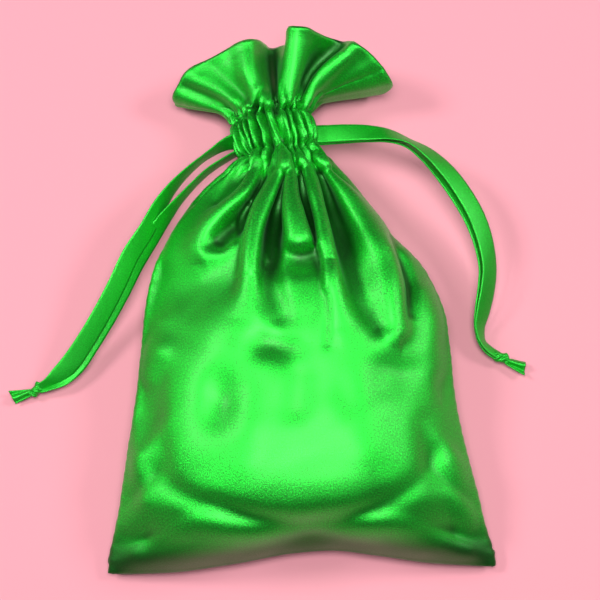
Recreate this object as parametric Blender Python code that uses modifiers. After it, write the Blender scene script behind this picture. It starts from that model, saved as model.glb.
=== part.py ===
"""Satin drawstring gift sack, lying on its back with the neck drawn shut.

Frame: +Z up, +X to the sack's right, +Y from the bottom fold to the frill.
The origin is under the middle of the sack, on the surface it lies on.
Everything is in metres. The sack is one strip of satin folded at the bottom,
sewn up both sides, with a turned-in hem that makes a casing for two ribbons.
The front half and the back half are separate bodies here: the front lifts
about the bottom fold when the mouth is opened.
"""
import math

import bmesh
import bpy
from mathutils import Vector

MM = 0.001

# ---- driving dimensions, millimetres ---------------------------------------
WALL = 0.8            # wall of the panels and the frill
SEAM_W = 1.7          # width of the side seam flange
GAP = 0.5             # clearance between neighbouring pieces
NECK_X, NECK_Z = -6.6, 10.0     # centre of the gathered neck
CASING_Y0, CASING_Y1 = 39.6, 50.4
CASING_OUT = (11.0, 8.0)        # half width, half height of the gathered casing
CASING_IN = (9.4, 6.4)
RUN_MID = (8.7, 5.7)            # the ribbon's line inside the casing
FACING_OUT = (8.0, 5.0)         # turned-in hem, the casing's inner wall
FACING_IN = (7.0, 4.0)
PLEATS = 22                     # gathers round the whole neck
PLEAT_DEPTH = 0.35
RIBBON_W, RIBBON_T = 4.8, 0.5
RUN_W = 3.6                     # the ribbon bunches up inside the casing
LEFT_RUN_Y, RIGHT_RUN_Y = 42.4, 47.2
THREAD_R = 0.2
FOLD_Y, FOLD_Z = -71.0, 0.6     # the bottom fold, where the front hinges

# half outline of the body: station y, x of the left edge, x of the right edge
EDGES = [
    (-70.0, -49.4, 49.4), (-67.5, -49.7, 49.7), (-60.0, -47.8, 47.0),
    (-52.5, -46.6, 45.0), (-38.0, -44.5, 41.2), (-26.0, -42.8, 38.9),
    (-13.0, -41.7, 37.8), (-2.0, -40.7, 36.0), (6.0, -39.4, 32.6),
    (15.0, -36.2, 25.6), (24.0, -30.2, 17.6), (32.0, -23.4, 9.8),
    (39.0, -18.0, 4.8), (40.5, -17.4, 4.2),
]
# station y, height of the side seam, top of the front, lift of the back
HEIGHTS = [
    (-70.0, 3.2, 5.0, 2.0), (-66.0, 3.6, 13.0, 0.4), (-62.0, 4.6, 18.0, 0.0),
    (-55.0, 7.0, 23.5, 0.0), (-40.0, 9.0, 28.5, 0.0), (-20.0, 10.0, 30.0, 0.0),
    (0.0, 10.0, 28.0, 0.0), (14.0, 10.0, 24.5, 0.0), (26.0, 10.0, 20.5, 0.7),
    (36.0, 10.0, 18.0, 1.8), (40.5, 10.0, 17.6, 2.2),
]
# rim of the frill, front half, from the right seam over the top to the left
RIM_FRONT = [
    (24.3, 58.8, 12.6), (19.6, 61.6, 18.0), (13.2, 66.2, 20.5),
    (6.0, 68.0, 21.0), (-1.0, 70.2, 20.0), (-6.0, 69.2, 14.5),
    (-13.0, 69.4, 15.5), (-21.0, 67.0, 14.5), (-29.0, 63.6, 12.0),
    (-35.4, 57.2, 8.6),
]
RIM_BACK = [
    (-35.0, 56.2, 6.2), (-30.0, 59.6, 2.8), (-23.0, 63.6, 1.0),
    (-14.0, 66.6, 0.4), (-3.0, 67.2, 0.3), (6.0, 65.0, 0.5),
    (14.0, 62.0, 1.6), (19.6, 59.0, 4.2), (23.6, 57.4, 9.4),
]
# free ribbon, centre line between the two strands, from the casing outwards
LEFT_TAIL = [
    (-16.6, 42.4, 10.0), (-20.4, 41.6, 10.2), (-25.4, 38.8, 10.4),
    (-31.4, 33.6, 10.8), (-36.8, 26.6, 11.0), (-40.6, 18.8, 10.6),
    (-44.2, 9.6, 9.6), (-48.0, 0.6, 8.2), (-52.6, -8.2, 6.4),
    (-58.2, -15.6, 4.2), (-63.0, -20.6, 2.8), (-66.0, -22.6, 2.4),
]
RIGHT_TAIL = [
    (3.4, 46.6, 10.0), (8.6, 46.2, 10.2), (14.0, 45.8, 10.8),
    (20.6, 45.0, 11.2), (27.2, 42.6, 11.2), (33.4, 38.0, 10.6),
    (39.4, 31.2, 9.6), (44.6, 22.4, 8.2), (48.2, 12.4, 6.6),
    (49.6, 3.0, 4.8), (48.4, -4.4, 3.4), (47.6, -9.4, 2.6), (49.0, -12.4, 2.4),
]
LEFT_KNOT = (-68.8, -23.9, 2.2)
RIGHT_KNOT = (51.6, -14.2, 2.2)
LEFT_END = (-75.6, -26.0, 1.7)
RIGHT_END = (58.8, -17.2, 1.7)
KNOT = (2.7, 2.3, 2.1)          # half length, half width, half height

GREEN = (0.02, 0.52, 0.07, 1.0)
RIBBON_GREEN = (0.01, 0.50, 0.04, 1.0)
THREAD_GREEN = (0.01, 0.40, 0.05, 1.0)


def material(name, colour, roughness, metallic=0.0):
    made = bpy.data.materials.new(name)
    made.use_nodes = True
    shader = made.node_tree.nodes["Principled BSDF"]
    shader.inputs["Base Color"].default_value = colour
    shader.inputs["Roughness"].default_value = roughness
    shader.inputs["Metallic"].default_value = metallic
    return made


def spline(table, x, column):
    """A smooth curve through the table's rows, read at x."""
    rows = sorted(table)
    if x <= rows[0][0]:
        return rows[0][column]
    if x >= rows[-1][0]:
        return rows[-1][column]
    for i in range(len(rows) - 1):
        if x <= rows[i + 1][0]:
            break
    a, b = rows[i], rows[i + 1]
    before, after = rows[max(i - 1, 0)], rows[min(i + 2, len(rows) - 1)]
    span = b[0] - a[0]
    ma = (b[column] - before[column]) / (b[0] - before[0]) * span
    mb = (after[column] - a[column]) / (after[0] - a[0]) * span
    t = (x - a[0]) / span
    return (
        (2 * t**3 - 3 * t**2 + 1) * a[column]
        + (t**3 - 2 * t**2 + t) * ma
        + (3 * t**2 - 2 * t**3) * b[column]
        + (t**3 - t**2) * mb
    )


def along(points, t):
    """A point at share t of a smooth curve through the points."""
    n = len(points) - 1
    i = min(int(t * n), n - 1)
    s = t * n - i
    p = [Vector(points[max(0, min(n, i + k))]) for k in (-1, 0, 1, 2)]
    return 0.5 * (
        2 * p[1]
        + (p[2] - p[0]) * s
        + (2 * p[0] - 5 * p[1] + 4 * p[2] - p[3]) * s**2
        + (3 * p[1] - p[0] - 3 * p[2] + p[3]) * s**3
    )


def place(obj, mat, parent):
    obj.data.materials.append(mat)
    sack.objects.link(obj)
    obj.parent = parent
    obj.matrix_parent_inverse = parent.matrix_world.inverted()
    return obj


def smooth(mesh):
    mesh.shade_smooth()
    mesh.set_sharp_from_angle(angle=math.radians(40))


def sheet(name, nu, nv, where, wall, mat, parent, offset=-1.0, flip=False):
    """A grid bent to where(u, v), given a wall by Solidify."""
    shape = bmesh.new()
    bmesh.ops.create_grid(shape, x_segments=nu, y_segments=nv, size=0.5)
    for v in shape.verts:
        v.co = Vector(where(v.co.x + 0.5, v.co.y + 0.5)) * MM
    if flip:
        bmesh.ops.reverse_faces(shape, faces=shape.faces)
    mesh = bpy.data.meshes.new(name)
    shape.to_mesh(mesh)
    shape.free()
    smooth(mesh)
    obj = place(bpy.data.objects.new(name, mesh), mat, parent)
    solid = obj.modifiers.new("wall", "SOLIDIFY")
    solid.thickness = wall * MM
    solid.offset = offset
    solid.use_even_offset = False
    return obj


def ellipse(size, degrees, extra=0.0):
    a = math.radians(degrees)
    return (
        NECK_X + (size[0] + extra) * math.cos(a),
        NECK_Z + (size[1] + extra) * math.sin(a),
    )


def half_ring(name, outer, inner, y0, y1, first, last, mat, parent, pleated):
    """Half a collar: a closed outline in the XZ plane, extruded along Y."""
    steps = 60 if pleated else 24
    outline = []
    for i in range(steps + 1):
        a = first + (last - first) * i / steps
        extra = PLEAT_DEPTH * math.cos(math.radians(a) * PLEATS) if pleated else 0.0
        outline.append(ellipse(outer, a, extra))
    for i in range(16, -1, -1):
        outline.append(ellipse(inner, first + (last - first) * i / 16))
    curve = bpy.data.curves.new(name, "CURVE")
    curve.dimensions = "2D"
    curve.fill_mode = "BOTH"
    curve.extrude = (y1 - y0) / 2 * MM
    line = curve.splines.new("POLY")
    line.points.add(len(outline) - 1)
    for point, (x, z) in zip(line.points, outline):
        point.co = (x * MM, z * MM, 0.0, 1.0)
    line.use_cyclic_u = True
    obj = bpy.data.objects.new(name, curve)
    obj.location = (0.0, (y0 + y1) / 2 * MM, 0.0)
    obj.rotation_euler = (math.radians(90), 0.0, 0.0)
    bpy.context.view_layer.update()
    return place(obj, mat, parent)


def tube(name, points, radius, mat, parent, extrude=0.0, tilts=None, resolution=1):
    """A thread, or with extrude a flat ribbon, along a poly line."""
    curve = bpy.data.curves.new(name, "CURVE")
    curve.dimensions = "3D"
    curve.twist_mode = "Z_UP"
    curve.bevel_depth = radius * MM
    curve.bevel_resolution = resolution
    curve.extrude = extrude * MM
    curve.use_fill_caps = True
    line = curve.splines.new("POLY")
    line.points.add(len(points) - 1)
    for i, (point, p) in enumerate(zip(line.points, points)):
        point.co = (*(Vector(p) * MM), 1.0)
        point.tilt = math.radians(tilts[i]) if tilts else 0.0
    return place(bpy.data.objects.new(name, curve), mat, parent)


# ---- start from an empty scene ----------------------------------------------
for old in list(bpy.data.objects):
    bpy.data.objects.remove(old)
sack = bpy.data.collections.new("fabric_gift_sack")
bpy.context.scene.collection.children.link(sack)


def axis(name, location):
    empty = bpy.data.objects.new(name, None)
    empty.empty_display_size = 0.01
    empty.location = Vector(location) * MM
    sack.objects.link(empty)
    return empty


back = axis("sack_back", (0, 0, 0))
front = axis("sack_front", (0, FOLD_Y, FOLD_Z))
left_string = axis("left_drawstring", LEFT_TAIL[0])
right_string = axis("right_drawstring", RIGHT_TAIL[0])
bpy.context.view_layer.update()

satin = material("satin", GREEN, 0.35, 0.5)
satin_ribbon = material("ribbon_satin", RIBBON_GREEN, 0.3, 0.4)
thread = material("sewing_thread", THREAD_GREEN, 0.6)


# ---- the two panels ---------------------------------------------------------
def station(u, v, inset):
    """(x, y, share across) of a panel point; v runs from the fold to the neck."""
    y = -70.0 + (CASING_Y0 - GAP + 70.0) * (v ** 0.9)
    t = -math.cos(math.pi * u)
    left = spline(EDGES, y, 1) + inset
    right = spline(EDGES, y, 2) - inset
    x = (left + right) / 2 + (right - left) / 2 * t
    # the bottom fold pulls in between its corners
    pull = 5.0 * (1 - t * t) * max(0.0, 1 - (y + 70.0) / 14.0) ** 2
    lean = 1.2 * (t + 1) / 2 * max(0.0, 1 - (y + 70.0) / 14.0)
    return x, y + pull + lean, t, y


def front_point(u, v):
    x, y, t, s = station(u, v, SEAM_W + GAP)
    seam, top = spline(HEIGHTS, s, 1), spline(HEIGHTS, s, 2)
    crown = max(0.0, 1 - abs(t) ** 2.3) ** 0.72
    near_neck = max(0.0, (s - 2.0) / 37.0)
    folds = 0.9 * near_neck * math.cos(7.5 * math.pi * t) * crown
    edge = seam + WALL / 2 + GAP / 2 + 0.4
    return x, y, edge + (top - edge) * crown + folds


def back_point(u, v):
    x, y, t, s = station(u, v, SEAM_W + GAP)
    seam, lift = spline(HEIGHTS, s, 1), spline(HEIGHTS, s, 3)
    rise = max(0.0, (abs(t) - 0.42) / 0.58) ** 1.7
    lift = max(0.0, lift) if s < -60 or s > 18 else 0.0
    edge = seam - WALL / 2 - GAP / 2 - 0.4
    return x, y, lift + (edge - lift) * rise


sheet("front_panel", 22, 26, front_point, WALL, satin, front)
sheet("back_panel", 18, 22, back_point, WALL, satin, back, flip=True)


# ---- side seams: a flange of both layers, and its line of thread ------------
def seam_point(side):
    def where(u, v):
        y = -68.6 + (CASING_Y0 - 1.4 + 68.6) * v
        edge = spline(EDGES, y, 1 if side < 0 else 2)
        x = edge - side * SEAM_W * u
        lean = 1.2 * max(0.0, 1 - (y + 70.0) / 14.0) if side > 0 else 0.0
        return x, y + lean, spline(HEIGHTS, y, 1)

    return where


for side, name in ((-1, "left"), (1, "right")):
    sheet(
        name + "_side_seam", 1, 30, seam_point(side), WALL, satin, back,
        offset=0.0, flip=side > 0,
    )
    where = seam_point(side)
    line = [Vector(where(0.55, 0.03 + 0.94 * i / 30)) for i in range(31)]
    line = [p + Vector((0, 0, WALL / 2 + 0.3 + THREAD_R)) for p in line]
    tube(name + "_seam_thread", line, THREAD_R, thread, back)

# ---- the neck: casing, turned-in hem, ribbon inside, two rows of stitches ---
for half, first, parent in (("front", 0.0, front), ("back", 180.0, back)):
    half_ring(
        half + "_casing", CASING_OUT, CASING_IN, CASING_Y0, CASING_Y1,
        first + 15, first + 165, satin, parent, True,
    )
    half_ring(
        half + "_facing", FACING_OUT, FACING_IN, CASING_Y0 + 0.6, CASING_Y1 - 0.6,
        first + 25, first + 155, satin, parent, False,
    )
    for side, y in (("left", LEFT_RUN_Y), ("right", RIGHT_RUN_Y)):
        path = [ellipse(RUN_MID, first + 28 + 124 * i / 18) for i in range(19)]
        half_ring(
            f"{half}_{side}_ribbon_run",
            (RUN_MID[0] + RIBBON_T / 2, RUN_MID[1] + RIBBON_T / 2),
            (RUN_MID[0] - RIBBON_T / 2, RUN_MID[1] - RIBBON_T / 2),
            y - RUN_W / 2, y + RUN_W / 2, first + 28, first + 152,
            satin_ribbon, parent, False,
        )
    for row, y in (("lower", CASING_Y0 + 1.0), ("upper", CASING_Y1 - 1.0)):
        ring = []
        for i in range(25):
            x, z = ellipse(CASING_OUT, first + 17 + 146 * i / 24, 0.85)
            ring.append((x, y, z))
        tube(f"{half}_casing_stitch_{row}", ring, THREAD_R, thread, parent)


# ---- the frill above the casing --------------------------------------------
def frill(points, first):
    def where(u, v):
        a = first + 17 + 146 * u
        x, z = ellipse(CASING_OUT, a, -0.4)
        root = Vector((x, CASING_Y1 + GAP, z))
        rim = along(points, u)
        # it leaves the casing along +Y, then opens out
        reach = Vector((0, 0.9 * (rim - root).length, 0))
        out = (rim - root) * 0.8
        p = (
            (2 * v**3 - 3 * v**2 + 1) * root + (v**3 - 2 * v**2 + v) * reach
            + (3 * v**2 - 2 * v**3) * rim + (v**3 - v**2) * out
        )
        p.z += (0.7 if first == 0 else 0.0) * math.cos(9 * math.pi * u) * v * v
        p.z = max(p.z, 0.05)
        return p

    return where


sheet("front_frill", 26, 7, frill(RIM_FRONT, 0.0), WALL, satin, front, flip=True)
sheet("back_frill", 22, 6, frill(RIM_BACK, 180.0), WALL, satin, back, flip=True)


# ---- the free ribbon: two strands a side, knotted together -----------------
def strand(points, side, shift, lift):
    """A strand beside the tail's centre line, drawn in to the knot at its end."""
    made, tilts, count = [], [], 30
    for i in range(count + 1):
        t = i / count
        p = along(points, t)
        d = along(points, min(1.0, t + 0.01)) - along(points, max(0.0, t - 0.01))
        across = Vector((-d.y, d.x, 0)).normalized()
        spread = math.sin(math.pi * min(1.0, t * 1.15)) ** 0.7 if t < 0.87 else 0.35
        near = max(0.0, 1 - t * 9)
        p = p + across * shift * spread * (1 - near)
        p.z += lift * (0.55 + 0.45 * min(1.0, 4 * t))
        made.append(p)
        tilts.append(90.0)
    return made, tilts


for side, points, parent in (
    ("left", LEFT_TAIL, left_string), ("right", RIGHT_TAIL, right_string),
):
    for layer, shift, lift in (("front", 1.3, 0.65), ("back", -1.3, -0.65)):
        line, tilts = strand(points, side, shift, lift)
        tube(
            f"{side}_ribbon_{layer}_strand", line, RIBBON_T / 2, satin_ribbon, parent,
            extrude=(RIBBON_W - RIBBON_T) / 2, tilts=tilts, resolution=0,
        )


def knot(name, centre, towards, size, mat, parent):
    bpy.ops.mesh.primitive_uv_sphere_add(segments=14, ring_count=9, radius=1.0)
    obj = bpy.context.active_object
    obj.name = name
    for holder in list(obj.users_collection):
        holder.objects.unlink(obj)
    turn = Vector((1, 0, 0)).rotation_difference(
        (Vector(towards) - Vector(centre)).normalized()
    ).to_matrix()
    for v in obj.data.vertices:
        v.co = (turn @ Vector((v.co.x * size[0], v.co.y * size[1], v.co.z * size[2]))) * MM
    smooth(obj.data)
    obj.location = Vector(centre) * MM
    bpy.context.view_layer.update()
    return place(obj, mat, parent)


def knot_end(name, centre, end, mat, parent):
    """The two cut ends past the knot: a short flattened cone."""
    way = (Vector(end) - Vector(centre)).normalized()
    start = Vector(centre) + way * (KNOT[0] + 0.35)
    length = (Vector(end) - start).length
    bpy.ops.mesh.primitive_cone_add(
        vertices=12, radius1=1.0 * MM, radius2=1.9 * MM, depth=length * MM
    )
    obj = bpy.context.active_object
    obj.name = name
    for holder in list(obj.users_collection):
        holder.objects.unlink(obj)
    way = Vector(end) - start
    turn = Vector((0, 0, 1)).rotation_difference(way.normalized()).to_matrix()
    for v in obj.data.vertices:
        p = turn @ v.co
        p.z *= 0.62
        v.co = p
    obj.location = (start + way / 2) * MM
    bpy.context.view_layer.update()
    return place(obj, mat, parent)


for side, centre, end, parent, tail in (
    ("left", LEFT_KNOT, LEFT_END, left_string, LEFT_TAIL),
    ("right", RIGHT_KNOT, RIGHT_END, right_string, RIGHT_TAIL),
):
    knot(side + "_knot", centre, end, KNOT, satin_ribbon, parent)
    knot_end(side + "_knot_ends", centre, end, satin_ribbon, parent)
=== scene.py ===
import math

import bmesh
import bpy
import numpy as np
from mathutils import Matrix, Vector


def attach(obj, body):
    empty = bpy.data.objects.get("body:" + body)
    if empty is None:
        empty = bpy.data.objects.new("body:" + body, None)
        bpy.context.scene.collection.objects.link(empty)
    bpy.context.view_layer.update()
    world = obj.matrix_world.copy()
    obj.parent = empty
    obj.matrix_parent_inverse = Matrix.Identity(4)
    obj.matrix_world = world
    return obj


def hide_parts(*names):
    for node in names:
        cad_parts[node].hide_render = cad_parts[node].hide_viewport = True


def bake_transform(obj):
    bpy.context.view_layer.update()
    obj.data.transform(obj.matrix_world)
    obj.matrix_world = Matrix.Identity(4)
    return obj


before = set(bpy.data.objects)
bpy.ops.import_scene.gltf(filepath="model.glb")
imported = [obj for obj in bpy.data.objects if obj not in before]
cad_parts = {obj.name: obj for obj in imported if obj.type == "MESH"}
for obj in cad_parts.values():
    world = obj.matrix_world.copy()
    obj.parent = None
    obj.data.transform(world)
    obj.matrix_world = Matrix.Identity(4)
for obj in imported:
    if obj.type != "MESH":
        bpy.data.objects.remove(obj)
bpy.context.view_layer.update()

MM = 0.001
scene = bpy.context.scene
scene.view_settings.view_transform = "Standard"

# ---- camera -----------------------------------------------------------------
AIM = Vector((0.0, 0.0, 0.010))
TILT = math.radians(75)
camera_data = bpy.data.cameras.new("camera")
camera_data.lens = 115.2
camera_data.sensor_width = 36.0
camera = bpy.data.objects.new("camera", camera_data)
camera.location = AIM + 0.5 * Vector((0, -math.cos(TILT), math.sin(TILT)))
camera.rotation_euler = (math.pi / 2 - TILT, 0, 0)
scene.collection.objects.link(camera)
scene.camera = camera


# ---- the sack's cloth: its shape by design, then relaxed as cloth ----------
NU, NV = 256, 152           # vertices round the sack, rows from fold to rim
FLAT_W, FLAT_H = 102.0, 152.0
H_LOW, H_HIGH = 117.0, 127.0    # the two stitch rows
PLEATS = 24

EDGES = np.array([
    (-70.0, -49.2, 49.6), (-67.5, -49.0, 50.2), (-60.0, -47.3, 47.8),
    (-52.0, -45.8, 45.8), (-38.0, -43.8, 42.1), (-26.0, -42.1, 39.8),
    (-13.0, -41.0, 38.7), (-3.0, -40.2, 37.4), (5.0, -39.1, 34.4),
    (12.0, -37.2, 30.4), (16.0, -35.4, 26.2), (23.0, -31.0, 19.7),
    (30.0, -25.2, 12.9), (35.4, -20.4, 9.3), (40.0, -16.4, 6.2),
])
# y, seam height, top of the front, underside of the back
HEIGHTS = np.array([
    (-70.0, 2.6, 4.0, 2.2), (-68.0, 2.9, 12.5, 1.6), (-65.5, 3.4, 19.0, 0.8), (-62.0, 4.4, 23.2, 0.2),
    (-57.0, 6.0, 25.9, 0.0), (-51.0, 7.4, 27.3, 0.0), (-43.0, 8.6, 28.2, 0.0), (-24.0, 10.0, 28.8, 0.0),
    (-8.0, 10.0, 28.4, 0.0), (-2.0, 10.0, 27.7, 0.0), (6.0, 10.0, 25.8, 0.0), (14.0, 10.0, 23.6, 0.3),
    (26.0, 10.0, 20.2, 1.2), (34.0, 10.0, 18.2, 2.6), (40.0, 10.2, 17.0, 3.4),
])

def curve(table, col, x):
    """Monotone-ish cubic through table rows."""
    xs, ys = table[:, 0], table[:, col]
    x = np.clip(x, xs[0], xs[-1])
    i = np.clip(np.searchsorted(xs, x, side="right") - 1, 0, len(xs) - 2)
    m = np.gradient(ys, xs)
    h = xs[i + 1] - xs[i]
    t = (x - xs[i]) / h
    return ((2*t**3-3*t**2+1)*ys[i] + (t**3-2*t**2+t)*h*m[i]
            + (3*t**2-2*t**3)*ys[i+1] + (t**3-t**2)*h*m[i+1])

def smooth(a, b, x):
    t = np.clip((x - a) / (b - a), 0, 1)
    return t * t * (3 - 2 * t)

def hermite_curve(points, t):
    """Catmull-Rom through points (n,3) at t in 0..1, spaced by chord."""
    p = np.asarray(points, float)
    d = np.r_[0, np.cumsum(np.linalg.norm(np.diff(p, axis=0), axis=1) ** 0.8)]
    d /= d[-1]
    m = np.gradient(p, d, axis=0)
    i = np.clip(np.searchsorted(d, t, side="right") - 1, 0, len(p) - 2)
    h = (d[i + 1] - d[i])[:, None]
    u = ((t - d[i])[:, None]) / h
    return ((2*u**3-3*u**2+1)*p[i] + (u**3-2*u**2+u)*h*m[i]
            + (3*u**2-2*u**3)*p[i+1] + (u**3-u**2)*h*m[i+1])

def seen(px, py, z):
    """The point in millimetres at height z that lies at px, py of a 600 wide frame."""
    tilt = np.radians(75.0)
    back = np.array((0.0, -np.cos(tilt), np.sin(tilt)))
    up = np.array((0.0, np.sin(tilt), np.cos(tilt)))
    cam = np.array((0.0, 0.0, 10.0)) + 500.0*back
    d = np.array((1.0, 0, 0))*(px - 300)/1920 - up*(py - 300)/1920 - back
    return cam + d * ((z - cam[2]) / d[2])


# rim of the frill by its place in the frame and its height: from the left seam
# over the front to the right seam, then back underneath
RIM_FRONT = [seen(*p) for p in (
    (175.5, 104, 5.0), (173.5, 97, 8.0), (178, 86, 10.5), (186, 73, 12.2), (196, 66, 12.4), (206, 61, 13.6),
    (217, 55.5, 15.0), (228, 49.5, 15.8), (240, 43.5, 17.0), (250, 40.5, 17.6), (258, 41, 15.5), (264, 44.5, 11.5),
    (271, 47.5, 8), (279, 47.5, 7), (286, 47, 8.5), (290.5, 46, 12), (290.2, 38, 17), (288.6, 30, 21),
    (290.5, 27.2, 23), (298, 27.2, 23.8), (306, 28, 23), (316, 33, 20.5), (328, 38, 17.5), (340, 41, 16.5), (349, 42, 18.5),
    (357, 44.5, 20.5), (364, 49, 20), (373, 57, 18.5), (383, 68.5, 16.5))]
RIM_BACK = [RIM_FRONT[-1]] + [seen(*p) for p in (
    (390.5, 81, 13), (391.5, 86, 9.5), (387, 91, 6), (378, 93, 3.0), (366, 88, 1.4), (350, 78, 2.4), (336, 72, 5.2),
    (322, 66, 3.2), (306, 63, 1.4), (290, 61, 1.8), (272, 58, 5.6), (252, 61, 2.6), (238, 66, 1.4),
    (218, 74, 3.4), (200, 86, 2.8), (186, 98, 1.4), (177, 105, 2.6), (175.5, 104, 5.0))]

def amp_ratio():
    """Amplitude over wavelength of a cosine, for a cloth to span length ratio."""
    a = np.linspace(0, 1.6, 161)
    x = np.linspace(0, 2*np.pi, 400)
    r = np.sqrt(1 + (2*np.pi*a[:, None]*np.sin(x)) ** 2).mean(axis=1)
    return r, a


RIDGES = [
    # soft folds of the back: place round the sack (0 left seam, 0.5 right
    # seam), half width, height in mm, and the cloth heights it spans
    (0.560, 0.018, 2.4, 84, 114), (0.640, 0.018, 2.8, 80, 114), (0.720, 0.018, 2.8, 84, 114),
    (0.800, 0.018, 2.8, 80, 114), (0.880, 0.018, 2.6, 84, 114), (0.945, 0.018, 2.4, 88, 114),
]
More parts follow.
